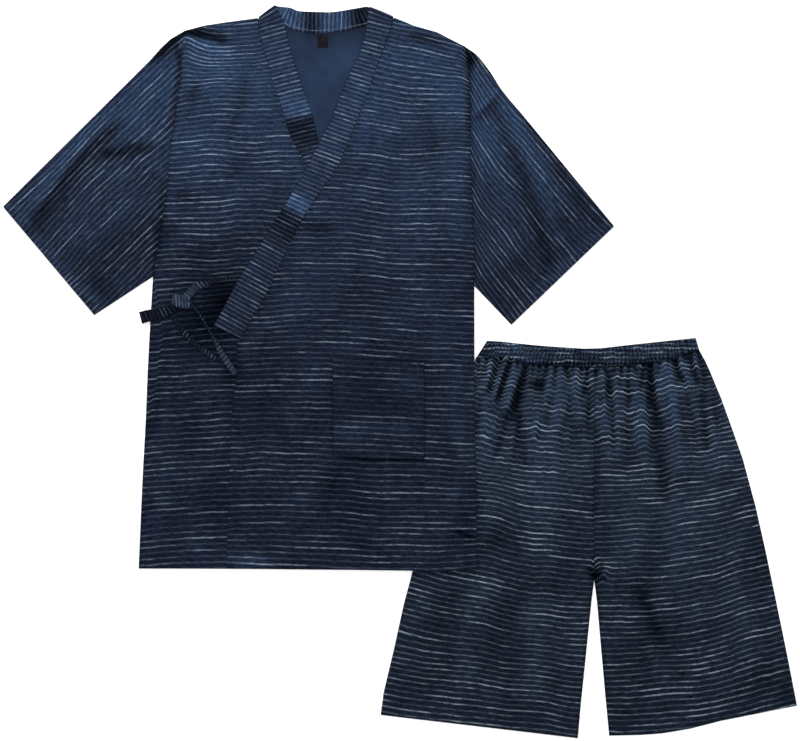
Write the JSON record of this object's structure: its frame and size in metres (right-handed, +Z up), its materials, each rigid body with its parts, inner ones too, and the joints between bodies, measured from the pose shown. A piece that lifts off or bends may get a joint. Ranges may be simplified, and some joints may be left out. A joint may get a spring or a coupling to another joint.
{
  "type": "pyjama set",
  "caption": "Short-sleeved wrap jacket with side tie and patch pocket, laid flat partly over elastic-waist knee shorts, in navy slub cotton with thin broken white lines.",
  "frame": {"origin": "centre of the underside of the set's bounding box, on the surface it lies on", "axes": "+X to the right of the layout (from the wearer's right sleeve to the shorts), +Y to its top (the collar), +Z up, out of the surface"},
  "size_m": [1.112, 1.0271, 0.0166],
  "materials": {
    "jacket_cotton": "matte slub cotton with thin broken white lines",
    "band_cotton": "matte slub cotton, lines across the band",
    "tie_cotton": "matte slub cotton, lines across the ribbon",
    "shorts_cotton": "matte slub cotton with thin broken white lines",
    "label": "bare satin weave"
  },
  "bodies": {
    "root": {"jacket_back": "jacket_cotton", "front_under": "jacket_cotton", "front_over": "jacket_cotton", "sleeve_right": "jacket_cotton", "sleeve_left": "jacket_cotton", "patch_pocket": "jacket_cotton", "collar_band": "band_cotton", "neck_label": "label", "tie_tail": "tie_cotton", "tie_knot": "tie_cotton", "tie_upper_loop": "tie_cotton", "tie_strap": "tie_cotton", "tie_lower_loop": "tie_cotton", "shorts_front_right": "shorts_cotton", "shorts_front_left": "shorts_cotton", "shorts_back_right": "shorts_cotton", "shorts_back_left": "shorts_cotton", "waistband_front": "shorts_cotton", "waistband_back": "shorts_cotton"}
  },
  "joints": []
}
